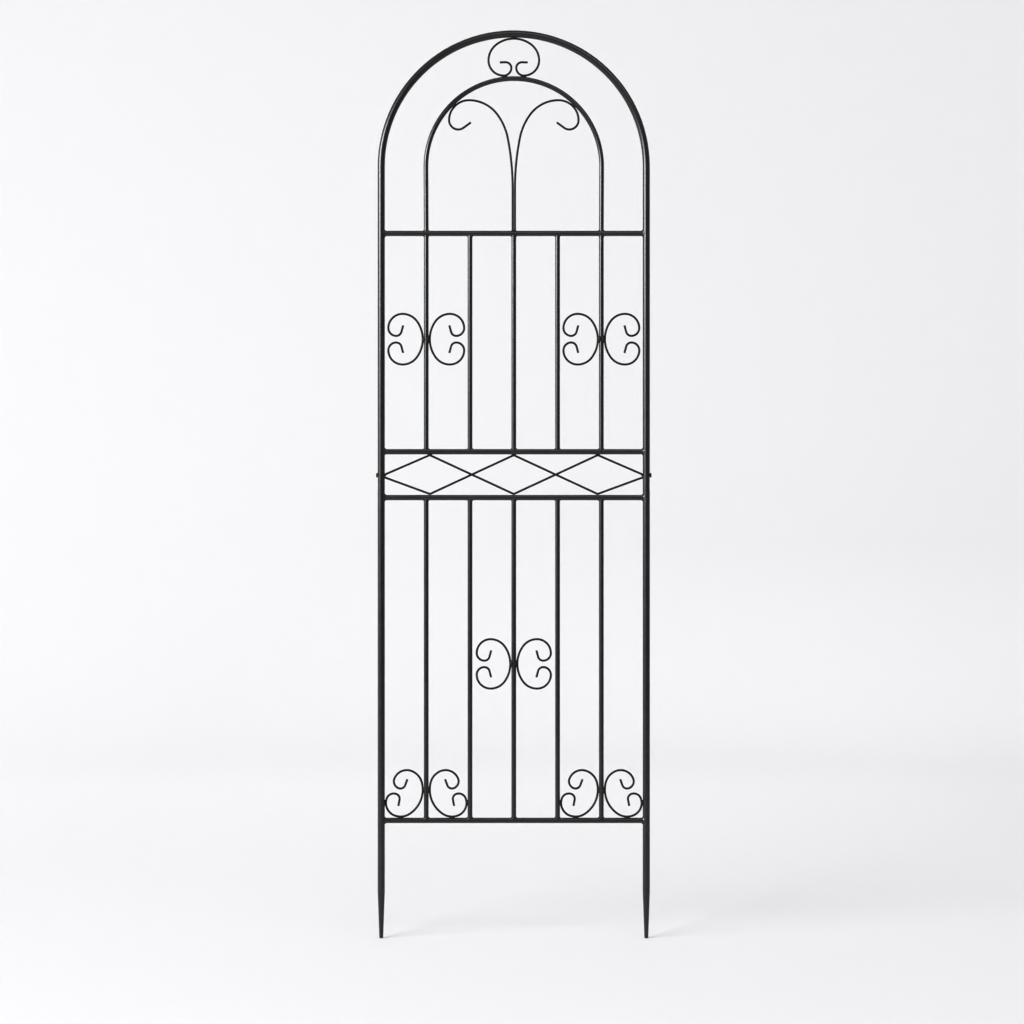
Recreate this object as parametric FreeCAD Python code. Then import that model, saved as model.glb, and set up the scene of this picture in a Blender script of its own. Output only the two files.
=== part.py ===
import FreeCAD, Part
import math
import os

from FreeCAD import Vector

# Arched garden trellis of welded steel tube and bent wire, in two panels that plug together.
# Millimetres. +Z is up, X runs across the trellis, Y through it, and the stake tips stand at Z = 0.

# Overall size
overall_height = 1524.0
overall_width = 457.0

# Stock: round tube and round wire
stile_diameter = 12.0
stile_wall = 1.0
rail_diameter = 9.0
bar_diameter = 8.0
light_wall = 0.8
scroll_wire = 3.6
scroll_end_round = 0.6
lattice_wire = 3.6

# Frame: the top rail lies below the hoop's bend, and the middle rails lie either side of the panels' seam
seam_height = 752.0
top_rail_drop = 112.5
upper_rail_rise = 64.5
lower_rail_drop = 12.5
bottom_rail_height = 197.5
inner_arch_bulge = 0.5
bar_names = ("outer_left", "inner_left", "middle", "inner_right", "outer_right")

# Stakes
stake_taper_height = 78.0
stake_tip_diameter = 6.4
stake_tip_round = 1.0
stake_closed_length = 20.0

# Plug-in joint between the panels
tube_end_chamfer = 0.3
pin_engagement = 50.0
pin_play = 0.1
pin_chamfer = 1.5
screw_rise = 25.0
screw_diameter = 4.0
screw_length = 9.5
screw_head_diameter = 8.0
screw_head_height = 2.4
screw_head_round = 1.5
screw_head_gap = 0.2
screw_hole_play = 0.1
screw_slot_play = 0.3
recess_length = 4.4
recess_width = 1.1
recess_depth = 1.3

# C-scroll: bend radii from the middle of its back to the curl, then a straight tail
scroll_back_radius = 52.0
scroll_back_turn = 35.6
scroll_shoulder_radius = 30.0
scroll_crown_radius = 24.0
scroll_curl_radius = 13.2
scroll_eye_radius = 9.2
scroll_eye_turn = 75.0
scroll_tail = 11.3

# Where the C-scrolls sit: above or below the middle of their bars, and how far short of the next upright
upper_scroll_rise = 5.7
upper_scroll_gap = 4.1
centre_scroll_rise = -8.2
centre_scroll_gap = 5.5
base_scroll_tilt = 21.0
base_upper_eye_turn = 91.0
base_lower_eye_turn = 80.0

# Crown scroll between the two arches
crown_back_radius = 47.8
crown_back_turn = 37.2
crown_shoulder_radius = 33.5
crown_side_radius = 25.2
crown_curl_radius = 12.8
crown_eye_radius = 9.5
crown_eye_turn = 92.0
crown_tail = 9.3

# Fountain scrolls on the top rail
fountain_stem_radius = 445.0
fountain_stem_turn = 11.0
fountain_neck_radius = 99.0
fountain_neck_turn = 25.5
fountain_shoulder_radius = 59.0
fountain_side_radius = 33.6
fountain_curl_radius = 15.6
fountain_eye_radius = 14.4
fountain_eye_turn = 36.2
fountain_tail = 15.5

# Diamond lattice between the middle rails
lattice_pitch = 141.0
lattice_bend_radius = 4.0
lattice_tip_rise = 23.5

# Gaps: between pieces that a weld joins, and between the two panels
weld_gap = 0.1
panel_gap = 0.35

# Derived places
stile_radius = stile_diameter / 2
rail_radius = rail_diameter / 2
bar_radius = bar_diameter / 2
wire_radius = scroll_wire / 2
stile_x = (overall_width - stile_diameter) / 2
stile_bore_radius = stile_radius - stile_wall
arch_centre_height = overall_height - overall_width / 2
top_rail_height = arch_centre_height - top_rail_drop
upper_rail_height = seam_height + upper_rail_rise
lower_rail_height = seam_height - lower_rail_drop
screw_height = seam_height + screw_rise

# The bars stand with equal gaps between the stiles, and the inner arch springs from the outer two
bar_gap = (overall_width - 2 * stile_diameter - len(bar_names) * bar_diameter) / (len(bar_names) + 1)
bar_spacing = bar_gap + bar_diameter
outer_bar_x = len(bar_names) // 2 * bar_spacing
inner_arch_radius = outer_bar_x + inner_arch_bulge
bar_touch = bar_radius + wire_radius + weld_gap
rail_touch = rail_radius + wire_radius + weld_gap


def spot(x, z):
    """A point in the plane of the trellis."""
    return Vector(x, 0, z)


def bend(start, heading, runs):
    """Straight runs and tangent bends in the plane of the trellis.

    A run is (length,) or (radius, turn): a positive turn bends clockwise, seen from the front.
    The heading and the turns are in degrees, the heading counted from +X towards +Z.
    """
    edges = []
    x, z = start
    angle = math.radians(heading)
    for run in runs:
        if len(run) == 1:
            end_x = x + run[0] * math.cos(angle)
            end_z = z + run[0] * math.sin(angle)
            edges.append(Part.LineSegment(spot(x, z), spot(end_x, end_z)).toShape())
            x, z = end_x, end_z
            continue
        radius, turn = run
        side = math.copysign(1.0, turn)
        sweep = math.radians(turn)
        centre_x = x + side * radius * math.sin(angle)
        centre_z = z - side * radius * math.cos(angle)

        def on_bend(share):
            now = angle - sweep * share
            return spot(centre_x - side * radius * math.sin(now), centre_z + side * radius * math.cos(now))

        edges.append(Part.Arc(on_bend(0), on_bend(0.5), on_bend(1)).toShape())
        x, z = on_bend(1).x, on_bend(1).z
        angle -= sweep
    return edges


def joined(edges):
    """One wire through edges that meet end to end."""
    return Part.Wire(Part.__sortEdges__(edges))


def rod(path, radius):
    """Round wire bent along a path."""
    first = path.OrderedEdges[0]
    start = path.OrderedVertexes[0].Point
    at = first.FirstParameter if first.valueAt(first.FirstParameter).isEqual(start, 1e-6) else first.LastParameter
    ring = Part.Wire(Part.Circle(start, first.tangentAt(at), radius).toShape())
    return path.makePipe(Part.Face(ring))


def scroll_rod(path):
    """Scroll wire bent along a path, its cut ends rounded over."""
    blank = rod(path, wire_radius)
    ends = [path.OrderedVertexes[0].Point, path.OrderedVertexes[-1].Point]
    rims = [edge for edge in blank.Edges if any(edge.CenterOfMass.isEqual(end, 1e-4) for end in ends)]
    return blank.makeFillet(scroll_end_round, rims)


def bent_tube(path, radius, wall):
    """Round tube bent along a path."""
    return rod(path, radius).cut(rod(path, radius - wall))


def bar(start, end, radius):
    """Solid round bar between two points."""
    along = end - start
    return Part.makeCylinder(radius, along.Length, start, along)


def straight_tube(start, end, radius, wall):
    """Round tube between two points."""
    return bar(start, end, radius).cut(bar(start, end, radius - wall))


def mirrored(shape):
    """The same piece on the other side of the middle line."""
    return shape.mirror(Vector(0, 0, 0), Vector(1, 0, 0))


def reach(path, x, z, steps=60):
    """How far a path reaches from the origin in the direction (x, z)."""
    return max(point.dot(spot(x, z)) for edge in path.Edges for point in edge.discretize(steps))


def scroll_half(scale, radii, turns, tail):
    """Edges of half a scroll that starts upward at the origin and curls towards +X."""
    runs = [(radius * scale, turn) for radius, turn in zip(radii, turns)]
    return bend((0.0, 0.0), 90.0, runs + [(tail * scale,)])


def whole_scroll(upper, lower):
    """A scroll from its upper half and the mirror image of its lower one."""
    below = [edge.mirror(Vector(0, 0, 0), Vector(0, 0, 1)) for edge in lower]
    return joined(below + upper)


def c_scroll(scale, eye_turns=(scroll_eye_turn, scroll_eye_turn)):
    """The C-scroll's centre line: back at the origin, both curls towards +X."""
    radii = (scroll_back_radius, scroll_shoulder_radius, scroll_crown_radius, scroll_curl_radius, scroll_eye_radius)
    turns = (scroll_back_turn, 90.0 - scroll_back_turn, 90.0, 90.0)
    return whole_scroll(*(scroll_half(scale, radii, (*turns, eye), scroll_tail) for eye in eye_turns))


def crown_scroll(scale):
    """The crown scroll's centre line, laid on its side like the C-scroll."""
    radii = (crown_back_radius, crown_shoulder_radius, crown_side_radius, crown_curl_radius, crown_eye_radius)
    turns = (crown_back_turn, 90.0 - crown_back_turn, 90.0, 90.0, crown_eye_turn)
    half = scroll_half(scale, radii, turns, crown_tail)
    return whole_scroll(half, half)


def turned(path, degrees):
    """A path turned in the plane of the trellis, clockwise seen from the front."""
    copy = path.copy()
    copy.rotate(Vector(0, 0, 0), Vector(0, 1, 0), degrees)
    return copy


def moved(path, x, z):
    """A path moved in the plane of the trellis."""
    copy = path.copy()
    copy.translate(spot(x, z))
    return copy


def solve(function, low, high):
    """The value between two bounds at which a rising function passes zero."""
    for _ in range(40):
        middle = (low + high) / 2
        if function(middle) < 0:
            low = middle
        else:
            high = middle
    return (low + high) / 2


# Solid stand-ins for the places that tubes and bars are notched round
left_stile_space = bar(spot(-stile_x, 0), spot(-stile_x, arch_centre_height), stile_radius)
right_stile_space = bar(spot(stile_x, 0), spot(stile_x, arch_centre_height), stile_radius)


def rail_space(height):
    """The round space that a rail fills."""
    return bar(spot(-stile_x, height), spot(stile_x, height), rail_radius)


def make_rail(height):
    """A rail whose ends are notched round the stiles."""
    blank = straight_tube(spot(-stile_x, height), spot(stile_x, height), rail_radius, light_wall)
    return blank.cut(left_stile_space).cut(right_stile_space)


def make_bar(x, low, high):
    """An upright bar whose ends are notched round the rails below and above."""
    blank = straight_tube(spot(x, low), spot(x, high), bar_radius, light_wall)
    return blank.cut(rail_space(low)).cut(rail_space(high))


def make_outer_arch():
    """The hoop: two legs and a half circle, slotted at the foot of each leg to pass the screw."""
    leg = arch_centre_height - seam_height
    path = joined(bend((-stile_x, seam_height), 90.0, [(leg,), (stile_x, 180.0), (leg,)]))
    solid = rod(path, stile_radius)
    rims = [edge for edge in solid.Edges if abs(edge.BoundBox.ZMax - seam_height) < 1e-4]
    hoop = solid.makeChamfer(tube_end_chamfer, rims).cut(rod(path, stile_bore_radius))
    slot_radius = screw_diameter / 2 + screw_slot_play
    for side in (-1, 1):
        middle = spot(side * stile_x, screw_height)
        outside = spot(side * (stile_x + stile_diameter), screw_height)
        hoop = hoop.cut(bar(middle, outside, slot_radius))
        corner = Vector(min(middle.x, outside.x), -slot_radius, seam_height - stile_wall)
        hoop = hoop.cut(Part.makeBox(stile_diameter, 2 * slot_radius, screw_rise + stile_wall, corner))
    return hoop


def make_inner_arch():
    """The inner arch: legs that lean in a little from the bend to the bars below."""
    span = math.hypot(outer_bar_x, top_rail_drop)
    leg = math.sqrt(span**2 - inner_arch_radius**2)
    lean = math.degrees(math.acos(inner_arch_radius / span) - math.atan2(top_rail_drop, outer_bar_x))
    runs = [(leg,), (inner_arch_radius, 180.0 - 2 * lean), (leg,)]
    path = joined(bend((-outer_bar_x, top_rail_height), 90.0 - lean, runs))
    return bent_tube(path, bar_radius, light_wall).cut(rail_space(top_rail_height))


def make_crown():
    """The crown scroll, sized to touch the outer arch above and the inner arch below."""
    top = overall_height - stile_diameter - wire_radius - weld_gap
    ring = inner_arch_radius + bar_radius + wire_radius + weld_gap

    def clash(scale):
        path = moved(turned(crown_scroll(scale), 90.0), 0, top - arch_centre_height)
        return ring - min(point.Length for edge in path.Edges for point in edge.discretize(60))

    scale = solve(clash, 0.1, 2.0)
    return scroll_rod(moved(turned(crown_scroll(scale), 90.0), 0, top))


def fountain_path(stem):
    """The right-hand fountain scroll's centre line, with its foot in the middle of the top rail."""
    radii = (fountain_stem_radius, fountain_neck_radius, fountain_shoulder_radius, fountain_side_radius)
    rest = 90.0 - fountain_stem_turn - fountain_neck_turn
    turns = (fountain_stem_turn, fountain_neck_turn, rest, 90.0)
    runs = [(stem,)] + list(zip(radii, turns))
    runs += [(fountain_curl_radius, 90.0), (fountain_eye_radius, fountain_eye_turn), (fountain_tail,)]
    return joined(bend((wire_radius + weld_gap, top_rail_height), 90.0, runs))


def make_fountain():
    """The right-hand fountain scroll, tall enough to touch the inside of the inner arch."""
    ring = inner_arch_radius - bar_radius - wire_radius - weld_gap
    centre = spot(0, arch_centre_height)

    def clash(stem):
        path = fountain_path(stem)
        return max((point - centre).Length for edge in path.Edges for point in edge.discretize(60)) - ring

    stem = solve(clash, rail_radius, top_rail_drop + inner_arch_radius)
    return scroll_rod(fountain_path(stem)).cut(rail_space(top_rail_height))


def make_c_scroll(bar_x, height, gap, side):
    """A C-scroll whose back touches a bar and whose curls stop a gap short of the next upright.

    The side is +1 for curls towards +X, -1 for -X.
    """
    room = bar_gap - scroll_wire - weld_gap - gap
    path = c_scroll(room / reach(c_scroll(1.0), 1, 0))
    if side < 0:
        path = turned(path, 180.0)
    return scroll_rod(moved(path, bar_x + side * bar_touch, height))


def make_base_scroll(bar_x):
    """A tilted C-scroll right of a bar, sized to touch the uprights on both sides, on the bottom rail."""
    room = bar_gap - scroll_wire - 2 * weld_gap
    eye_turns = (base_upper_eye_turn, base_lower_eye_turn)
    model = turned(c_scroll(1.0, eye_turns), -base_scroll_tilt)
    scale = room / (reach(model, 1, 0) + reach(model, -1, 0))
    path = turned(c_scroll(scale, eye_turns), -base_scroll_tilt)
    x = bar_x + bar_touch + reach(path, -1, 0)
    z = bottom_rail_height + rail_touch + reach(path, 0, -1)
    return scroll_rod(moved(path, x, z))


def make_zigzag(starts_up, y):
    """One zigzag wire of the lattice; two of them, one behind the other, cross into diamonds."""
    radius = lattice_wire / 2
    high = upper_rail_height - math.sqrt((rail_radius + radius + weld_gap) ** 2 - y**2)
    low = lower_rail_height + math.sqrt((rail_radius + radius + panel_gap) ** 2 - y**2)
    peak = (high - lattice_bend_radius, lattice_bend_radius)
    valley = (low + lattice_bend_radius, -lattice_bend_radius)
    levels = (peak, valley, peak) if starts_up else (valley, peak, valley)
    # the centre of each bend and its radius, negative where the wire bends anticlockwise
    stops = [(-stile_x, seam_height + lattice_tip_rise, 0.0)]
    stops += [(step * lattice_pitch, *level) for step, level in zip((-1, 0, 1), levels)]
    stops.append((stile_x, seam_height + lattice_tip_rise, 0.0))
    headings = []
    runs = []
    for (x0, z0, bend0), (x1, z1, bend1) in zip(stops, stops[1:]):
        length = math.sqrt((x1 - x0) ** 2 + (z1 - z0) ** 2 - (bend1 - bend0) ** 2)
        heading = math.degrees(math.atan2(z1 - z0, x1 - x0) + math.atan2(bend1 - bend0, length))
        if headings:
            runs.append((lattice_bend_radius, headings[-1] - heading))
        runs.append((length,))
        headings.append(heading)
    wire = rod(joined(bend(stops[0][:2], headings[0], runs)), radius)
    wire.translate(Vector(0, y, 0))
    return wire.cut(left_stile_space).cut(right_stile_space)


def make_stake():
    """The right-hand stake: tube whose foot is drawn down to a blunt closed tip."""
    outline = [
        (0, 0),
        (stake_tip_diameter / 2, 0),
        (stile_radius, stake_taper_height),
        (stile_radius, seam_height - tube_end_chamfer),
        (stile_radius - tube_end_chamfer, seam_height),
        (stile_bore_radius, seam_height),
        (stile_bore_radius, stake_taper_height),
        (0, stake_closed_length),
        (0, 0),
    ]
    profile = Part.Face(Part.makePolygon([spot(x, z) for x, z in outline]))
    stake = profile.revolve(Vector(0, 0, 0), Vector(0, 0, 1), 360)
    stake = stake.makeFillet(stake_tip_round, [edge for edge in stake.Edges if edge.BoundBox.ZMax < 1e-4])
    stake.translate(spot(stile_x, 0))
    return stake


def make_pin():
    """The right-hand connecting pin: pressed into the stake, a sliding fit in the leg above, cross-drilled."""
    seat = bar(spot(stile_x, seam_height - pin_engagement), spot(stile_x, seam_height), stile_bore_radius)
    top = seam_height + pin_engagement
    plug = bar(spot(stile_x, seam_height), spot(stile_x, top), stile_bore_radius - pin_play)
    rim = [edge for edge in plug.Edges if edge.BoundBox.ZMin > top - 1e-4]
    pin = seat.fuse(plug.makeChamfer(pin_chamfer, rim)).removeSplitter()
    hole = bar(
        spot(stile_x - stile_diameter, screw_height),
        spot(stile_x + stile_diameter, screw_height),
        screw_diameter / 2 + screw_hole_play,
    )
    return pin.cut(hole)


def make_screw():
    """The right-hand screw: plain shank, rounded head and a cross recess."""
    seat_x = stile_x + stile_radius + screw_head_gap
    top_x = seat_x + screw_head_height
    head = bar(spot(seat_x, screw_height), spot(top_x, screw_height), screw_head_diameter / 2)
    rim = [edge for edge in head.Edges if edge.BoundBox.XMin > top_x - 1e-4]
    head = head.makeFillet(screw_head_round, rim)
    shank = bar(spot(seat_x - screw_length, screw_height), spot(seat_x, screw_height), screw_diameter / 2)
    screw = head.fuse(shank).removeSplitter()
    for across, up in ((recess_length, recess_width), (recess_width, recess_length)):
        corner = Vector(top_x - recess_depth, -across / 2, screw_height - up / 2)
        screw = screw.cut(Part.makeBox(2 * recess_depth, across, up, corner))
    return screw


parts = {}

# Frame of the upper panel
parts["outer_arch"] = make_outer_arch()
parts["inner_arch"] = make_inner_arch()
parts["top_rail"] = make_rail(top_rail_height)
parts["upper_middle_rail"] = make_rail(upper_rail_height)

# Frame of the lower panel
parts["right_stake"] = make_stake()
parts["left_stake"] = mirrored(parts["right_stake"])
parts["lower_middle_rail"] = make_rail(lower_rail_height)
parts["bottom_rail"] = make_rail(bottom_rail_height)

# Upright bars
for step, name in enumerate(bar_names):
    x = step * bar_spacing - outer_bar_x
    parts[f"upper_bar_{name}"] = make_bar(x, upper_rail_height, top_rail_height)
    parts[f"lower_bar_{name}"] = make_bar(x, bottom_rail_height, lower_rail_height)

# Scrolls
upper_scroll_height = (upper_rail_height + top_rail_height) / 2 + upper_scroll_rise
centre_scroll_height = (bottom_rail_height + lower_rail_height) / 2 + centre_scroll_rise
parts["crown_scroll"] = make_crown()
parts["fountain_scroll_right"] = make_fountain()
parts["fountain_scroll_left"] = mirrored(parts["fountain_scroll_right"])
for side, hand in ((-1, "left"), (1, "right")):
    for curl, place in ((side, "outer"), (-side, "inner")):
        scroll = make_c_scroll(side * outer_bar_x, upper_scroll_height, upper_scroll_gap, curl)
        parts[f"upper_scroll_{hand}_{place}"] = scroll
    parts[f"centre_scroll_{hand}"] = make_c_scroll(0, centre_scroll_height, centre_scroll_gap, side)
parts["base_scroll_right_outer"] = make_base_scroll(outer_bar_x)
parts["base_scroll_left_inner"] = make_base_scroll(-outer_bar_x)
parts["base_scroll_left_outer"] = mirrored(parts["base_scroll_right_outer"])
parts["base_scroll_right_inner"] = mirrored(parts["base_scroll_left_inner"])

# Lattice
lattice_offset = (lattice_wire + weld_gap) / 2
parts["lattice_wire_front"] = make_zigzag(True, -lattice_offset)
parts["lattice_wire_back"] = make_zigzag(False, lattice_offset)

# Plug-in joint
parts["connecting_pin_right"] = make_pin()
parts["connecting_pin_left"] = mirrored(parts["connecting_pin_right"])
parts["screw_right"] = make_screw()
parts["screw_left"] = mirrored(parts["screw_right"])

os.makedirs("parts", exist_ok=True)
for name, shape in parts.items():
    shape.exportStep(f"parts/{name}.step")
    print(name, len(shape.Solids), round(shape.Volume, 1), shape.isValid())
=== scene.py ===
"""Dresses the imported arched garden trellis: black powder coat, weld beads and a pale studio.

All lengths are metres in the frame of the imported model: X runs across the trellis, Y through it and
Z up, with the stake tips at Z = 0 and the front facing -Y.
"""

import logging
import math
import random
from dataclasses import dataclass, field
from enum import Enum
from typing import Any, Callable, Iterable, Mapping, Sequence, Union

import bmesh
import bpy
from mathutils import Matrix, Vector

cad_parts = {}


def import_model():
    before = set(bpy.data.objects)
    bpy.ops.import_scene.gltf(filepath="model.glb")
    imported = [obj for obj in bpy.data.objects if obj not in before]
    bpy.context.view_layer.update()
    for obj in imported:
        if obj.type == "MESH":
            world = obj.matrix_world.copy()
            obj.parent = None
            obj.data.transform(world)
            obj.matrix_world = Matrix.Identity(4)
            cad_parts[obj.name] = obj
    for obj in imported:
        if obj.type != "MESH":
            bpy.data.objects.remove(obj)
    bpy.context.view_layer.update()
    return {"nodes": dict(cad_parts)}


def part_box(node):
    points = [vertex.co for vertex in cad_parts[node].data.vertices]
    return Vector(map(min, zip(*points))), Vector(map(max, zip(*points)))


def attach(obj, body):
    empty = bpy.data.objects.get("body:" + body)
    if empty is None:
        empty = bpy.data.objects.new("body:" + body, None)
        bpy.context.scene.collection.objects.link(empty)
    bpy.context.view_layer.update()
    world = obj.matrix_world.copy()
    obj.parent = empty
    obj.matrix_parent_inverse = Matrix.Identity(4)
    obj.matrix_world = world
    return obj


log = logging.getLogger("trellis")

MM = 0.001
ACROSS = Vector((1, 0, 0))
DEPTH = Vector((0, 1, 0))
UP = Vector((0, 0, 1))
SIDES = (-1, 1)
HANDS = {-1: "left", 1: "right"}
WELD_SEED = 20
PAPER_BLUENESS = 0.014

Colour = tuple[float, float, float, float]
Number = Union["Signal", float]


class Panel(Enum):
    """The two welded panels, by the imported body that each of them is."""

    UPPER = "upper_panel"
    LOWER = "lower_panel"


class Slot(Enum):
    """The finishes of the trellis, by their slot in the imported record."""

    TUBE = "coated_tube"
    WIRE = "coated_wire"
    SCREW = "black_screw"
    PIN = "plated_pin"


@dataclass(frozen=True)
class Signal:
    """One output of a shader node; arithmetic on it adds Math nodes."""

    tree: "ShaderTree"
    socket: bpy.types.NodeSocket

    def _join(self, operation: str, first: Number, second: Number) -> "Signal":
        """Add one Math node."""
        return self.tree.add("ShaderNodeMath", {"operation": operation}, {0: first, 1: second})

    def __add__(self, other: Number) -> "Signal":
        """This plus another value."""
        return self._join("ADD", self, other)

    def __radd__(self, other: Number) -> "Signal":
        """Another value plus this."""
        return self._join("ADD", other, self)

    def __sub__(self, other: Number) -> "Signal":
        """This less another value."""
        return self._join("SUBTRACT", self, other)

    def __rsub__(self, other: Number) -> "Signal":
        """Another value less this."""
        return self._join("SUBTRACT", other, self)

    def __mul__(self, other: Number) -> "Signal":
        """This times another value."""
        return self._join("MULTIPLY", self, other)

    def __rmul__(self, other: Number) -> "Signal":
        """Another value times this."""
        return self._join("MULTIPLY", other, self)


class ShaderTree:
    """A material while its nodes are laid out."""

    def __init__(self, name: str) -> None:
        """Start an empty material.

        Args:
            name: The material's name.
        """
        self.material = bpy.data.materials.new(name)
        self.material.use_nodes = True
        self.nodes = self.material.node_tree.nodes
        self.links = self.material.node_tree.links
        self.nodes.clear()

    def add(
        self,
        kind: str,
        settings: Mapping[str, Any] | None = None,
        inputs: Mapping[int | str, Any] | None = None,
        output: int | str | None = 0,
    ) -> Signal | None:
        """Add a node of any kind.

        Args:
            kind: Blender's name of the node type.
            settings: The node's own options, set before its sockets.
            inputs: A value or a signal for each socket to be filled.
            output: Which output to hand back, if the node has one.

        Returns:
            The chosen output, if any.
        """
        node = self.nodes.new(kind)
        for key, value in (settings or {}).items():
            setattr(node, key, value)
        for key, value in (inputs or {}).items():
            if isinstance(value, Signal):
                self.links.new(value.socket, node.inputs[key])
            else:
                node.inputs[key].default_value = value
        return None if output is None else Signal(self, node.outputs[output])

    def noise(self, size: float, detail: float = 2.0) -> Signal:
        """Cloudy noise fixed to the piece.

        Args:
            size: The size of one cloud.
            detail: How many finer layers lie on it.

        Returns:
            Values about one half.
        """
        place = self.add("ShaderNodeTexCoord", output="Object")
        return self.add("ShaderNodeTexNoise", None, {"Vector": place, "Scale": 1 / size, "Detail": detail})

    def crystals(self, size: float) -> Signal:
        """Crystals fixed to the piece.

        Args:
            size: The size of one crystal.

        Returns:
            A random value for each crystal.
        """
        place = self.add("ShaderNodeTexCoord", output="Object")
        cell = self.add("ShaderNodeTexVoronoi", None, {"Vector": place, "Scale": 1 / size}, "Color")
        return self.add("ShaderNodeSeparateColor", None, {"Color": cell})

    def above(self, value: Signal, low: float, high: float) -> Signal:
        """How far a value has come from a low mark, 0, to a high one, 1."""
        marks = {"Value": value, "From Min": low, "From Max": high}
        return self.add("ShaderNodeMapRange", {"clamp": True}, marks)

    def between(self, share: Signal, first: Colour, second: Colour) -> Signal:
        """A colour between two others."""
        return self.add("ShaderNodeMix", {"data_type": "RGBA"}, {0: share, 6: first, 7: second}, 2)

    def relief(self, height: Signal) -> Signal:
        """The normal of a surface with the given heights, in metres."""
        return self.add("ShaderNodeBump", None, {"Strength": 1.0, "Distance": 1.0, "Height": height})

    def surface(self, inputs: Mapping[str, Any]) -> bpy.types.Material:
        """Close the tree with a Principled surface.

        Args:
            inputs: The values and signals of its sockets.

        Returns:
            The finished material.
        """
        shader = self.add("ShaderNodeBsdfPrincipled", None, inputs)
        self.add("ShaderNodeOutputMaterial", None, {"Surface": shader}, None)
        return self.material


def grey(value: float, blueness: float = 0.0) -> Colour:
    """A grey with a small share of blue added."""
    return (value, value, value * (1 + blueness), 1.0)


@dataclass(frozen=True)
class PowderCoat:
    """Black powder coat: orange peel, fine grain, cloudy gloss and a few dust nibs under the skin."""

    name: str
    deep: Colour = grey(0.013)
    pale: Colour = grey(0.021)
    tone_range: tuple[float, float] = (0.35, 0.65)
    gloss: float = 0.6
    roughness: float = 0.25
    gloss_drift: float = 0.08
    cloud_size: float = 28 * MM
    peel_size: float = 1.5 * MM
    peel_height: float = 0.006 * MM
    grain_size: float = 0.28 * MM
    grain_height: float = 0.0012 * MM
    nib_size: float = 3.0 * MM
    nib_range: tuple[float, float] = (0.74, 0.82)
    nib_height: float = 0.03 * MM

    def material(self) -> bpy.types.Material:
        """Mix the coat.

        Returns:
            The material.
        """
        tree = ShaderTree(self.name)
        cloud = tree.noise(self.cloud_size)
        peel = tree.noise(self.peel_size, detail=1.0)
        grain = tree.noise(self.grain_size, detail=3.0)
        nib = tree.above(tree.noise(self.nib_size, detail=0.0), *self.nib_range)
        tone = tree.above((cloud + grain) * 0.5, *self.tone_range)
        height = peel * self.peel_height + grain * self.grain_height + nib * self.nib_height
        return tree.surface(
            {
                "Base Color": tree.between(tone, self.deep, self.pale),
                "Roughness": (cloud + grain - 1.0) * self.gloss_drift + self.roughness,
                "Specular IOR Level": self.gloss,
                "Normal": tree.relief(height),
            }
        )


@dataclass(frozen=True)
class ZincPlate:
    """Dull zinc plating on the pins: a faint crystal pattern, fine grain and clouded gloss."""

    name: str
    dull: Colour = grey(0.42, 0.03)
    bright: Colour = grey(0.60, 0.025)
    roughness: float = 0.36
    gloss_drift: float = 0.16
    crystal_size: float = 1.4 * MM
    crystal_dulling: float = 0.06
    cloud_size: float = 9 * MM
    grain_size: float = 0.2 * MM
    grain_height: float = 0.002 * MM

    def material(self) -> bpy.types.Material:
        """Mix the plating.

        Returns:
            The material.
        """
        tree = ShaderTree(self.name)
        crystal = tree.crystals(self.crystal_size)
        cloud = tree.noise(self.cloud_size, detail=3.0)
        grain = tree.noise(self.grain_size, detail=3.0)
        roughness = (cloud - 0.5) * self.gloss_drift + crystal * self.crystal_dulling + self.roughness
        return tree.surface(
            {
                "Base Color": tree.between((crystal + cloud) * 0.5, self.dull, self.bright),
                "Metallic": 1.0,
                "Roughness": roughness,
                "Normal": tree.relief(grain * self.grain_height),
            }
        )


@dataclass(frozen=True)
class BlackOxide:
    """Blackened steel of the screws, rubbed a little bright in random spots."""

    name: str
    deep: Colour = grey(0.016)
    rubbed: Colour = grey(0.060)
    rub_range: tuple[float, float] = (0.5, 0.75)
    metalness: float = 0.35
    roughness: float = 0.34
    gloss_drift: float = 0.20
    rub_size: float = 1.6 * MM
    grain_size: float = 0.15 * MM
    grain_height: float = 0.0015 * MM

    def material(self) -> bpy.types.Material:
        """Mix the finish.

        Returns:
            The material.
        """
        tree = ShaderTree(self.name)
        rub = tree.noise(self.rub_size, detail=4.0)
        grain = tree.noise(self.grain_size, detail=3.0)
        return tree.surface(
            {
                "Base Color": tree.between(tree.above(rub, *self.rub_range), self.deep, self.rubbed),
                "Metallic": self.metalness,
                "Roughness": (grain - 0.5) * self.gloss_drift + self.roughness,
                "Normal": tree.relief(grain * self.grain_height),
            }
        )


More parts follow.
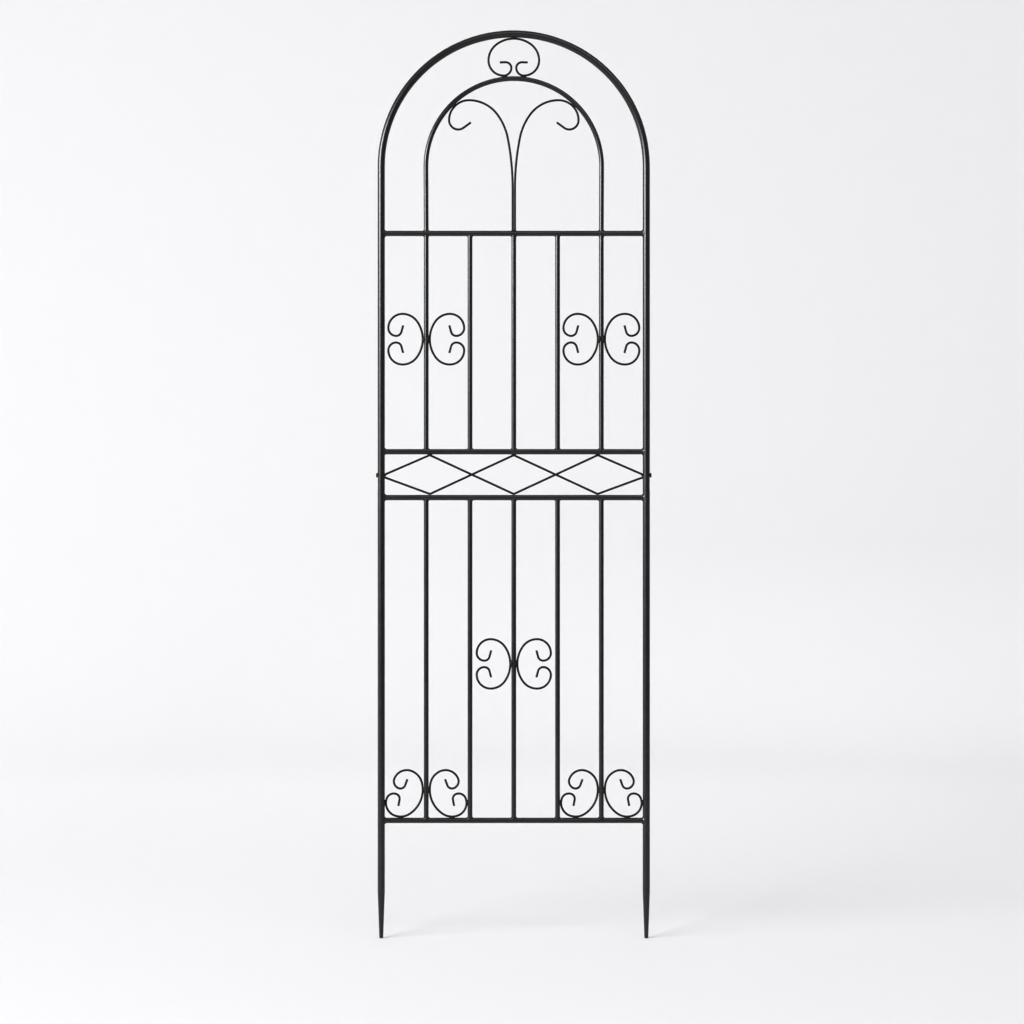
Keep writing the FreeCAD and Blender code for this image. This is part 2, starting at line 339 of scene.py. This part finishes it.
@dataclass(frozen=True)
class StudioPaper:
    """Matt white paper with painted shade: its floor graduated darker towards the front and the left,
    against the fall of the key light.
    """

    name: str
    # Painted shade: the floor colours are darkest at the near left, under the key light, and lightest at
    # the far right.
    near_left: Colour = grey(0.735, PAPER_BLUENESS)
    near_right: Colour = grey(0.830, PAPER_BLUENESS)
    far_left: Colour = grey(0.828, PAPER_BLUENESS)
    far_right: Colour = grey(0.905, PAPER_BLUENESS)
    wall: Colour = grey(0.818, PAPER_BLUENESS)
    half_width: float = 1.0
    near_depth: float = -0.6
    far_depth: float = 2.2
    wall_foot: float = 0.6
    roughness: float = 0.9

    def material(self) -> bpy.types.Material:
        """Mix the paper.

        Returns:
            The material.
        """
        tree = ShaderTree(self.name)
        place = tree.add("ShaderNodeTexCoord", output="Object")
        x, y, z = (tree.add("ShaderNodeSeparateXYZ", None, {"Vector": place}, axis) for axis in "XYZ")
        # Painted shade across the floor, darker towards the front and the left where the key light falls
        # strongest.
        rightward = tree.above(x, -self.half_width, self.half_width)
        near = tree.between(rightward, self.near_left, self.near_right)
        far = tree.between(rightward, self.far_left, self.far_right)
        floor = tree.between(tree.above(y, self.near_depth, self.far_depth), near, far)
        colour = tree.between(tree.above(z, 0.0, self.wall_foot), floor, self.wall)
        return tree.surface({"Base Color": colour, "Roughness": self.roughness})


class MeshSketch:
    """Closed skins gathered into one mesh object."""

    def __init__(self) -> None:
        """Start with no skin."""
        self.points: list[Vector] = []
        self.faces: list[tuple[int, ...]] = []

    def _bridge(self, first: Sequence[int], second: Sequence[int]) -> None:
        """Join two loops of points by a band of faces.

        Args:
            first: The point numbers of one loop.
            second: As many point numbers of the other.
        """
        size = len(first)
        for j in range(size):
            k = (j + 1) % size
            self.faces.append((first[j], first[k], second[k], second[j]))

    def _keep(self, sections: Sequence[Sequence[Vector]]) -> list[range]:
        """Store the loops of a skin.

        Args:
            sections: The loops.

        Returns:
            The point numbers of each.
        """
        loops = []
        for section in sections:
            loops.append(range(len(self.points), len(self.points) + len(section)))
            self.points.extend(section)
        return loops

    def add_ring(self, sections: Sequence[Sequence[Vector]]) -> None:
        """Add a skin that closes on itself, like a ring.

        Args:
            sections: Its cross-sections in order, each a loop of as many points.
        """
        loops = self._keep(sections)
        for here, there in zip(loops, loops[1:] + loops[:1]):
            self._bridge(here, there)

    def add_spindle(self, start: Vector, sections: Sequence[Sequence[Vector]], end: Vector) -> None:
        """Add a skin that closes to a point at both ends.

        Args:
            start: The first point.
            sections: The cross-sections between, each a loop of as many points.
            end: The last point.
        """
        loops = self._keep(sections)
        for here, there in zip(loops, loops[1:]):
            self._bridge(here, there)
        for tip, loop in ((start, loops[0]), (end, loops[-1])):
            number = len(self.points)
            self.points.append(tip)
            for j in range(len(loop)):
                self.faces.append((number, loop[j], loop[(j + 1) % len(loop)]))

    def to_object(self, name: str, material: bpy.types.Material) -> bpy.types.Object:
        """Make the mesh object.

        Args:
            name: The object's name.
            material: The finish on all of it.

        Returns:
            The object, linked into the scene.
        """
        mesh = bpy.data.meshes.new(name)
        mesh.from_pydata(self.points, [], self.faces)
        skin = bmesh.new()
        skin.from_mesh(mesh)
        bmesh.ops.recalc_face_normals(skin, faces=skin.faces)
        for face in skin.faces:
            face.smooth = True
        skin.to_mesh(mesh)
        skin.free()
        mesh.materials.append(material)
        piece = bpy.data.objects.new(name, mesh)
        bpy.context.scene.collection.objects.link(piece)
        return piece


@dataclass(frozen=True)
class Wobble:
    """Smooth unevenness round a bead, the same on each run."""

    amount: float
    phases: tuple[float, ...]

    @classmethod
    def drawn(cls, luck: random.Random, amount: float, waves: int = 4) -> "Wobble":
        """Draw a new unevenness.

        Args:
            luck: The seeded source of chance.
            amount: The height of its longest wave, as a share of the size that it acts on.
            waves: How many waves there are.

        Returns:
            The unevenness.
        """
        return cls(amount, tuple(luck.uniform(0, math.tau) for _ in range(waves)))

    def at(self, turn: float) -> float:
        """The factor at an angle."""
        return 1 + self.amount * sum(math.cos(n * turn + p) / n for n, p in enumerate(self.phases, 1))


@dataclass(frozen=True)
class Bead:
    """How the welder lays a bead: ripples along it, unevenness, and how deep its edges sink in."""

    steps: int = 72
    profile_steps: int = 6
    around: int = 20
    fewest_stations: int = 10
    stations_per_ripple: int = 10
    fullness: float = 0.56
    bluntness: float = 0.8
    sink: float = 0.12 * MM
    lean: float = 0.15
    unevenness: float = 0.14
    ripple_pitch: float = 1.5 * MM
    ripple_height: float = 0.09 * MM
    ripple_bow: float = 0.9 * MM


@dataclass(frozen=True)
class CornerWeld:
    """A bead all round the end of one round piece that stands on another."""

    foot: Vector
    branch: Vector
    main: Vector
    half_along: float
    half_across: float
    main_radius: float
    leg: float

    @property
    def side(self) -> Vector:
        """The third direction, across both pieces."""
        return self.branch.cross(self.main)

    def on_main(self, turn: float, reach: float, depth: float) -> Vector:
        """A point on the piece that runs through.

        Args:
            turn: The angle round the branch.
            reach: How far out from the corner the point lies.
            depth: How far under the surface it lies.

        Returns:
            The point.
        """
        corner = math.asin(self.half_across * math.sin(turn) / self.main_radius)
        angle = corner + reach * math.sin(turn) / self.main_radius
        along = (self.half_along + reach) * math.cos(turn)
        outward = self.side * math.sin(angle) + self.branch * math.cos(angle)
        return self.foot + self.main * along + outward * (self.main_radius - depth)

    def section(self, turn: float, leg: float, swell: float, bead: Bead) -> list[Vector]:
        """One cross-section of the bead.

        Args:
            turn: The angle round the branch.
            leg: The bead's width on either piece.
            swell: How far a ripple lifts its face.
            bead: How it is laid.

        Returns:
            A loop of points: the face from the branch to the main piece, then the sunk root.
        """
        out = self.main * math.cos(turn) + self.side * math.sin(turn)
        root = self.on_main(turn, 0.0, 0.0)
        upper = root + self.branch * leg - out * bead.sink
        lower = self.on_main(turn, leg, bead.sink)
        control = root + (upper + lower - root * 2) * bead.fullness
        points = []
        for step in range(bead.profile_steps + 1):
            share = step / bead.profile_steps
            point = upper * (1 - share) ** 2 + control * 2 * share * (1 - share) + lower * share**2
            points.append(point + (point - root).normalized() * swell * math.sin(math.pi * share))
        points.append(root - (self.branch + out) * bead.sink * 2)
        return points

    def add_to(self, sketch: MeshSketch, bead: Bead, luck: random.Random) -> None:
        """Lay the bead.

        Args:
            sketch: The mesh that it joins.
            bead: How it is laid.
            luck: The seeded source of chance.
        """
        wobble = Wobble.drawn(luck, bead.unevenness)
        ripples = round(math.tau * max(self.half_along, self.half_across) / bead.ripple_pitch)
        sections = []
        for step in range(bead.steps):
            turn = math.tau * step / bead.steps
            swell = bead.ripple_height * math.cos(ripples * turn)
            sections.append(self.section(turn, self.leg * wobble.at(turn), swell, bead))
        sketch.add_ring(sections)


@dataclass(frozen=True)
class GrooveWeld:
    """A rounded bead in the groove between two pieces that touch side by side."""

    centre: Vector
    along: Vector
    across: Vector
    half_length: float
    half_width: float
    half_depth: float

    def add_to(self, sketch: MeshSketch, bead: Bead, luck: random.Random) -> None:
        """Lay the bead.

        Args:
            sketch: The mesh that it joins.
            bead: How it is laid.
            luck: The seeded source of chance.
        """
        deep = self.along.cross(self.across)
        wobble = Wobble.drawn(luck, bead.unevenness)
        lean = luck.uniform(-bead.lean, bead.lean) * self.half_width
        reach = self.along * self.half_length + self.across * lean
        ripples = self.half_length / bead.ripple_pitch
        stations = max(bead.fewest_stations, round(bead.stations_per_ripple * ripples))
        sections = []
        for station in range(1, stations):
            angle = math.pi * (station / stations - 0.5)
            place, girth = math.sin(angle), math.cos(angle) ** bead.bluntness
            section = []
            for step in range(bead.around):
                turn = math.tau * step / bead.around
                along = place * self.half_length + math.cos(turn) ** 2 * bead.ripple_bow
                crest = girth * bead.ripple_height * math.cos(math.tau * along / bead.ripple_pitch)
                size = girth * wobble.at(turn + place)
                wide = self.across * math.cos(turn) * (self.half_width * size + crest)
                high = deep * math.sin(turn) * (self.half_depth * size + crest)
                section.append(self.centre + reach * place + wide + high)
            sections.append(section)
        sketch.add_spindle(self.centre - reach, sections, self.centre + reach)


Weld = Union[CornerWeld, GrooveWeld]


@dataclass(frozen=True)
class Stock:
    """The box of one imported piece."""

    low: Vector
    high: Vector

    @classmethod
    def of(cls, node: str) -> "Stock":
        """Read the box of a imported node."""
        return cls(*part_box(node))

    @property
    def centre(self) -> Vector:
        """The middle of the box."""
        return (self.low + self.high) / 2

    @property
    def half(self) -> Vector:
        """Half the box's size: its radius across a round bar."""
        return (self.high - self.low) / 2


@dataclass
class Assembly:
    """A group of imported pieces, dressed, with the welds that hold them."""

    nodes: Mapping[str, bpy.types.Object]
    coats: Mapping[Slot, bpy.types.Material]
    luck: random.Random
    bead: Bead = field(default_factory=Bead)

    def dress(self, names: Iterable[str], slot: Slot) -> list[bpy.types.Object]:
        """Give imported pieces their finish.

        Args:
            names: The nodes to dress.
            slot: The finish.

        Returns:
            The dressed pieces.
        """
        pieces = [self.nodes[name] for name in names]
        for piece in pieces:
            piece.material_slots[0].material = self.coats[slot]
        return pieces

    def lay(self, name: str, panel: Panel, slot: Slot, welds: Iterable[Weld]) -> bpy.types.Object:
        """Lay a group of welds as one piece that moves with its panel.

        Args:
            name: The piece's name.
            panel: The panel that it rides on.
            slot: The finish.
            welds: The beads.

        Returns:
            The piece.
        """
        sketch = MeshSketch()
        for weld in welds:
            weld.add_to(sketch, self.bead, self.luck)
        piece = sketch.to_object(name, self.coats[slot])
        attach(piece, panel.value)
        return piece

    def farthest(self, node: str, score: Callable[[Vector], float]) -> Vector:
        """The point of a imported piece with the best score, brought to the trellis's middle plane."""
        best = max((vertex.co for vertex in self.nodes[node].data.vertices), key=score)
        return Vector((best.x, 0, best.z))


@dataclass
class TubeFrame(Assembly):
    """The welded tube: hoop, stakes, rails, bars and inner arch."""

    rails: Mapping[Panel, tuple[str, str]] = field(
        default_factory=lambda: {
            Panel.UPPER: ("upper_middle_rail", "top_rail"),
            Panel.LOWER: ("bottom_rail", "lower_middle_rail"),
        }
    )
    bars: tuple[str, ...] = ("outer_left", "inner_left", "middle", "inner_right", "outer_right")
    bar_leg: float = 1.7 * MM
    rail_leg: float = 2.0 * MM

    def bar_names(self, panel: Panel) -> list[str]:
        """The nodes of a panel's upright bars."""
        return [f"{panel.name.lower()}_bar_{place}" for place in self.bars]

    def rail_welds(self, panel: Panel) -> list[CornerWeld]:
        """Where a panel's rails end on the stiles.

        Args:
            panel: The panel.

        Returns:
            The beads.
        """
        welds = []
        for name in self.rails[panel]:
            rail = Stock.of(name)
            for side in SIDES:
                stile = Stock.of(f"{HANDS[side]}_stake")
                foot = Vector((stile.centre.x, 0, rail.centre.z))
                radius = rail.half.z
                inward = ACROSS * -side
                welds.append(CornerWeld(foot, inward, UP, radius, radius, stile.half.x, self.rail_leg))
        return welds

    def bar_welds(self, panel: Panel) -> list[CornerWeld]:
        """Where a panel's bars end on its rails.

        Args:
            panel: The panel.

        Returns:
            The beads.
        """
        welds = []
        for name in self.bar_names(panel):
            bar = Stock.of(name)
            for rail_name, way in zip(self.rails[panel], (UP, -UP)):
                welds.append(self.upright_weld(bar.centre.x, bar.half.x, rail_name, way))
        return welds

    def upright_weld(self, x: float, radius: float, rail_name: str, way: Vector) -> CornerWeld:
        """The bead of one upright on a rail.

        Args:
            x: The upright's place across the trellis.
            radius: The upright's radius.
            rail_name: The rail's node.
            way: From the rail to the upright.

        Returns:
            The bead.
        """
        rail = Stock.of(rail_name)
        foot = Vector((x, 0, rail.centre.z))
        return CornerWeld(foot, way, ACROSS, radius, radius, rail.half.z, self.bar_leg)

    def arch_welds(self) -> list[CornerWeld]:
        """Where the inner arch stands on the top rail, in line with the outer bars.

        Returns:
            The beads.
        """
        top_rail = self.rails[Panel.UPPER][1]
        names = self.bar_names(Panel.UPPER)
        outer_bars = (Stock.of(names[0]), Stock.of(names[-1]))
        return [self.upright_weld(bar.centre.x, bar.half.x, top_rail, UP) for bar in outer_bars]

    def build(self) -> list[bpy.types.Object]:
        """Dress the tubes and lay their welds.

        Returns:
            The pieces.
        """
        names = ["outer_arch", "inner_arch", "left_stake", "right_stake"]
        for panel in Panel:
            names += [*self.rails[panel], *self.bar_names(panel)]
        pieces = self.dress(names, Slot.TUBE)
        for panel in Panel:
            prefix = panel.name.lower()
            pieces.append(self.lay(f"{prefix}_rail_welds", panel, Slot.TUBE, self.rail_welds(panel)))
            pieces.append(self.lay(f"{prefix}_bar_welds", panel, Slot.TUBE, self.bar_welds(panel)))
        pieces.append(self.lay("inner_arch_welds", Panel.UPPER, Slot.TUBE, self.arch_welds()))
        return pieces


@dataclass(frozen=True)
class Tack:
    """The pair of beads, front and back, where a scroll touches the frame."""

    half_length: float
    half_width: float
    half_depth: float
    from_middle: float
    onto_frame: float

    def at(self, spot: Vector, toward: Vector) -> list[GrooveWeld]:
        """Place the pair.

        Args:
            spot: The touching point, in the middle plane.
            toward: From the scroll to the frame.

        Returns:
            The beads.
        """
        along = DEPTH.cross(toward)
        middle = spot + toward * self.onto_frame
        sizes = (self.half_length, self.half_width, self.half_depth)
        places = [middle + DEPTH * face * self.from_middle for face in SIDES]
        return [GrooveWeld(place, along, toward, *sizes) for place in places]


@dataclass
class Scrollwork(Assembly):
    """The bent-wire scrolls and the beads that tack them to the frame."""

    back_tack: Tack = Tack(
        half_length=6.4 * MM,
        half_width=3.5 * MM,
        half_depth=2.0 * MM,
        from_middle=2.15 * MM,
        onto_frame=1.4 * MM,
    )
    curl_tack: Tack = Tack(
        half_length=4.8 * MM,
        half_width=2.4 * MM,
        half_depth=1.6 * MM,
        from_middle=1.3 * MM,
        onto_frame=0.3 * MM,
    )
    foot_leg: float = 1.3 * MM

    def side_tack(self, node: str, toward: Vector, tack: Tack) -> list[GrooveWeld]:
        """The beads at the outermost point of a scroll in one direction."""
        return tack.at(self.farthest(node, toward.dot), toward)

    def upper_welds(self) -> list[GrooveWeld]:
        """The backs of the four upper scrolls on the outer bars.

        Returns:
            The beads.
        """
        welds = []
        for side in SIDES:
            welds += self.side_tack(f"upper_scroll_{HANDS[side]}_outer", ACROSS * -side, self.back_tack)
            welds += self.side_tack(f"upper_scroll_{HANDS[side]}_inner", ACROSS * side, self.back_tack)
        return welds

    def centre_welds(self) -> list[GrooveWeld]:
        """The backs of the two centre scrolls on the middle bar.

        Returns:
            The beads.
        """
        welds = []
        for side in SIDES:
            welds += self.side_tack(f"centre_scroll_{HANDS[side]}", ACROSS * -side, self.back_tack)
        return welds

    def base_welds(self) -> list[GrooveWeld]:
        """The base scrolls on the uprights either side and on the bottom rail.

        Returns:
            The beads.
        """
        welds = []
        for node in self.names("base_scroll"):
            for toward in (ACROSS, -ACROSS, -UP):
                welds += self.side_tack(node, toward, self.curl_tack)
        return welds

    def arch_centre(self) -> Vector:
        """The centre of both arches."""
        hoop = Stock.of("outer_arch")
        return Vector((0, 0, hoop.high.z - hoop.half.x))

    def crown_welds(self) -> list[GrooveWeld]:
        """The crown scroll under the hoop and on the inner arch.

        Returns:
            The beads.
        """
        centre = self.arch_centre()
        welds = self.side_tack("crown_scroll", UP, self.curl_tack)
        for side in SIDES:
            spot = self.farthest(
                "crown_scroll", lambda p: -(p - centre).length if p.x * side > 0 else -math.inf
            )
            welds += self.curl_tack.at(spot, (centre - spot).normalized())
        return welds

    def fountain_welds(self) -> list[Weld]:
        """The fountain scrolls against the inner arch, and their feet side by side on the top rail.

        Returns:
            The beads.
        """
        centre = self.arch_centre()
        welds: list[Weld] = []
        for side in SIDES:
            node = f"fountain_scroll_{HANDS[side]}"
            spot = self.farthest(node, lambda p: (p - centre).length if p.z > centre.z else -math.inf)
            welds += self.curl_tack.at(spot, (spot - centre).normalized())
        rail = Stock.of("top_rail")
        wire = self.wire_radius()
        foot = Vector((0, 0, rail.centre.z))
        welds.append(CornerWeld(foot, UP, ACROSS, 2 * wire, wire, rail.half.z, self.foot_leg))
        return welds

    def wire_radius(self) -> float:
        """The radius of the scroll wire, from a scroll's thickness."""
        return Stock.of("crown_scroll").half.y

    def names(self, start: str) -> list[str]:
        """The nodes whose names start so, in order."""
        return sorted(name for name in self.nodes if name.startswith(start))

    def build(self) -> list[bpy.types.Object]:
        """Dress the scrolls and lay their tacks.

        Returns:
            The pieces.
        """
        pieces = self.dress((name for name in sorted(self.nodes) if "scroll" in name), Slot.WIRE)
        pieces.append(self.lay("crown_welds", Panel.UPPER, Slot.WIRE, self.crown_welds()))
        pieces.append(self.lay("fountain_welds", Panel.UPPER, Slot.WIRE, self.fountain_welds()))
        pieces.append(self.lay("upper_scroll_welds", Panel.UPPER, Slot.WIRE, self.upper_welds()))
        pieces.append(self.lay("centre_scroll_welds", Panel.LOWER, Slot.WIRE, self.centre_welds()))
        pieces.append(self.lay("base_scroll_welds", Panel.LOWER, Slot.WIRE, self.base_welds()))
        return pieces


@dataclass
class LatticeBand(Assembly):
    """The two zigzag wires of the diamonds, tacked to the rail above, to each other and to the stiles."""

    bends: tuple[int, ...] = (-1, 0, 1)
    bend_height: float = 0.2 * MM
    apex_half_length: float = 4.2 * MM
    apex_half_width: float = 1.5 * MM
    apex_half_depth: float = 2.1 * MM
    cross_half_length: float = 2.4 * MM
    cross_half_width: float = 1.3 * MM
    cross_half_depth: float = 1.5 * MM
    tip_half_height: float = 2.4 * MM
    tip_half_width: float = 2.6 * MM
    tip_half_depth: float = 3.1 * MM

    def apex_welds(self) -> list[GrooveWeld]:
        """The bends that touch the rail above.

        Returns:
            The beads.
        """
        welds = []
        sizes = (self.apex_half_length, self.apex_half_width, self.apex_half_depth)
        for name in ("lattice_wire_front", "lattice_wire_back"):
            wire = Stock.of(name)
            points = (vertex.co for vertex in self.nodes[name].data.vertices)
            highest = {round(p.x / self.pitch()) for p in points if wire.high.z - p.z < self.bend_height}
            for bend in self.bends:
                if bend in highest:
                    spot = Vector((bend * self.pitch(), wire.centre.y, wire.high.z))
                    welds.append(GrooveWeld(spot, ACROSS, UP, *sizes))
        return welds

    def pitch(self) -> float:
        """The distance between neighbouring bends, from the front wire's outer bends."""
        return abs(self.farthest("lattice_wire_front", lambda p: p.z).x)

    def cross_welds(self) -> list[GrooveWeld]:
        """The places where the wires cross.

        Returns:
            The beads.
        """
        band = Stock.of("lattice_wire_front")
        sizes = (self.cross_half_length, self.cross_half_width, self.cross_half_depth)
        spots = [Vector((side * self.pitch() / 2, 0, band.centre.z)) for side in SIDES]
        return [GrooveWeld(spot, ACROSS, UP, *sizes) for spot in spots]

    def tip_welds(self) -> list[GrooveWeld]:
        """The ends of both wires on the stiles.

        Returns:
            The beads.
        """
        welds = []
        sizes = (self.tip_half_height, self.tip_half_width, self.tip_half_depth)
        for side in SIDES:
            spot = self.farthest("lattice_wire_front", lambda p: p.x * side)
            stile = Stock.of(f"{HANDS[side]}_stake")
            face = stile.centre.x - side * stile.half.x
            welds.append(GrooveWeld(Vector((face, 0, spot.z)), UP, ACROSS, *sizes))
        return welds

    def build(self) -> list[bpy.types.Object]:
        """Dress the wires and lay their tacks.

        Returns:
            The pieces.
        """
        pieces = self.dress(("lattice_wire_front", "lattice_wire_back"), Slot.WIRE)
        welds = self.apex_welds() + self.cross_welds() + self.tip_welds()
        pieces.append(self.lay("lattice_welds", Panel.UPPER, Slot.WIRE, welds))
        return pieces


@dataclass
class PlugJoint(Assembly):
    """The pins and side screws that join the panels."""

    def build(self) -> list[bpy.types.Object]:
        """Dress the pins and the screws."""
        pins = self.dress((f"connecting_pin_{hand}" for hand in HANDS.values()), Slot.PIN)
        return pins + self.dress((f"screw_{hand}" for hand in HANDS.values()), Slot.SCREW)


@dataclass(frozen=True)
class Softbox:
    """A rectangular studio light."""

    name: str
    place: Vector
    target: Vector
    width: float
    height: float
    power: float
    casts_shadow: bool = True

    def build(self) -> bpy.types.Object:
        """Hang the light.

        Returns:
            The light, which the camera doesn't see.
        """
        lamp = bpy.data.lights.new(self.name, "AREA")
        lamp.shape = "RECTANGLE"
        lamp.size = self.width
        lamp.size_y = self.height
        lamp.energy = self.power
        lamp.use_shadow = self.casts_shadow
        light = bpy.data.objects.new(self.name, lamp)
        light.location = self.place
        light.rotation_euler = (self.target - self.place).to_track_quat("-Z", "Y").to_euler()
        light.visible_camera = False
        bpy.context.scene.collection.objects.link(light)
        return light


@dataclass
class Studio:
    """A round sweep of white paper, soft lights and a level camera in front."""

    core_radius: float = 1.2
    floor_radius: float = 3.0
    bend_radius: float = 4.0
    wall_height: float = 5.0
    wall_opening: float = -0.25
    floor_gap: float = 0.1 * MM
    bends: int = 32
    turns: int = 96
    room_light: float = 0.24
    film_gamma: float = 0.75
    lens: float = 85.0
    sensor: float = 36.0
    view_width: float = 1.7193
    view_height: float = 0.7153
    view_x: float = -0.0030
    sight: float = 50.0

    def sweep_profile(self) -> list[tuple[float, float]]:
        """The paper's section, from its middle outward.

        Returns:
            The distance from the middle and the height of each point.
        """
        profile = [(self.core_radius, 0.0), (self.floor_radius, 0.0)]
        for step in range(1, self.bends + 1):
            angle = math.pi / 2 * step / self.bends
            out = self.floor_radius + self.bend_radius * math.sin(angle)
            profile.append((out, self.bend_radius * (1 - math.cos(angle))))
        return [*profile, (self.floor_radius + self.bend_radius, self.wall_height)]

    def roll_out(self, coat: StudioPaper, is_back: bool) -> bpy.types.Object:
        """Roll out one part of the round sweep.

        Args:
            coat: The paper.
            is_back: Whether this is the floor with the wall behind, or else the wall in front.

        Returns:
            The paper, which isn't part of the trellis.
        """
        paper = bmesh.new()
        angles = [math.tau * turn / self.turns for turn in range(self.turns)]
        rings = []
        for out, up in self.sweep_profile():
            places = ((out * math.cos(a), out * math.sin(a), up - self.floor_gap) for a in angles)
            rings.append([paper.verts.new(place) for place in places])
        if is_back:
            paper.faces.new(rings[0])
        for low, high in zip(rings, rings[1:]):
            for j in range(self.turns):
                k = (j + 1) % self.turns
                stands_back = math.sin(math.tau * (j + 0.5) / self.turns) > self.wall_opening
                if is_back == (stands_back or high is rings[1]):
                    paper.faces.new((low[j], high[j], high[k], low[k]))
        loose = [vertex for vertex in paper.verts if not vertex.link_faces]
        bmesh.ops.delete(paper, geom=loose, context="VERTS")
        bmesh.ops.recalc_face_normals(paper, faces=paper.faces)
        for face in paper.faces:
            face.smooth = True
        mesh = bpy.data.meshes.new(coat.name)
        paper.to_mesh(mesh)
        paper.free()
        mesh.materials.append(coat.material())
        piece = bpy.data.objects.new(coat.name, mesh)
        bpy.context.scene.collection.objects.link(piece)
        return piece

    def build_sweep(self) -> list[bpy.types.Object]:
        """Roll out the floor and the wall behind, and close the front by a wall for the camera alone.

        Returns:
            Both papers.
        """
        back = self.roll_out(StudioPaper("paper_sweep"), is_back=True)
        front = self.roll_out(StudioPaper("paper_front"), is_back=False)
        front.visible_diffuse = False
        front.visible_glossy = False
        front.visible_transmission = False
        front.visible_shadow = False
        return [back, front]

    def build_lights(self) -> list[bpy.types.Object]:
        """Hang the lights: a key high on the left with a dim skirt, a wash for the paper and one overhead.

        Returns:
            The lights.
        """
        key = Softbox(
            name="key",
            place=Vector((-4.98, -4.18, 2.74)),
            target=Vector((-0.6, 0.6, 1.5)),
            width=5.2,
            height=1.95,
            power=670.0,
        )
        skirt = Softbox(
            name="key_skirt",
            place=Vector((-4.90, -4.10, 1.25)),
            target=Vector((0, 0, 0.9)),
            width=5.2,
            height=1.0,
            power=70.0,
        )
        wash = Softbox(
            name="paper_wash",
            place=Vector((-1.1, 2.2, 4.4)),
            target=Vector((-0.8, 3.8, 1.6)),
            width=5.0,
            height=1.2,
            power=84.0,
            casts_shadow=False,
        )
        overhead = Softbox(
            name="overhead",
            place=Vector((1.2, -2.5, 3.4)),
            target=Vector((0.8, 0, 0.5)),
            width=3.6,
            height=1.2,
            power=43.0,
        )
        return [lamp.build() for lamp in (key, skirt, wash, overhead)]

    def build_room(self) -> None:
        """Fill the room with even light and set the film."""
        world = bpy.data.worlds.new("room")
        world.use_nodes = True
        room = world.node_tree.nodes["Background"]
        room.inputs["Color"].default_value = grey(1.0)
        room.inputs["Strength"].default_value = self.room_light
        scene = bpy.context.scene
        scene.world = world
        scene.view_settings.view_transform = "Standard"
        scene.view_settings.gamma = self.film_gamma

    def build_camera(self) -> bpy.types.Object:
        """Set up the camera, level and square to the trellis.

        Returns:
            The camera.
        """
        data = bpy.data.cameras.new("camera")
        data.lens = self.lens
        data.sensor_width = self.sensor
        data.clip_end = self.sight
        camera = bpy.data.objects.new("camera", data)
        distance = self.view_width * self.lens / self.sensor
        camera.location = (self.view_x, -distance, self.view_height)
        camera.rotation_euler = (math.pi / 2, 0, 0)
        bpy.context.scene.collection.objects.link(camera)
        bpy.context.scene.camera = camera
        return camera

    def build(self) -> None:
        """Set up the whole studio."""
        self.build_room()
        for piece in (*self.build_sweep(), *self.build_lights(), self.build_camera()):
            log.info("%s: %s", type(self).__name__, piece.name)


def mix_coats() -> dict[Slot, bpy.types.Material]:
    """The finish of each slot."""
    return {
        Slot.TUBE: PowderCoat("tube_powder_coat").material(),
        Slot.WIRE: PowderCoat(
            "wire_powder_coat",
            deep=grey(0.011),
            pale=grey(0.018),
            gloss=0.20,
            roughness=0.44,
            peel_size=1.1 * MM,
        ).material(),
        Slot.SCREW: BlackOxide("screw_black").material(),
        Slot.PIN: ZincPlate("pin_zinc").material(),
    }


def main() -> None:
    """Dress the trellis and set up its studio."""
    logging.basicConfig(level=logging.INFO, format="%(message)s")
    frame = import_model()
    shared = (frame["nodes"], mix_coats(), random.Random(WELD_SEED))
    for assembly in (TubeFrame(*shared), Scrollwork(*shared), LatticeBand(*shared), PlugJoint(*shared)):
        for piece in assembly.build():
            log.info("%s: %s", type(assembly).__name__, piece.name)
    Studio().build()
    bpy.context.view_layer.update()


if __name__ == "__main__":
    main()
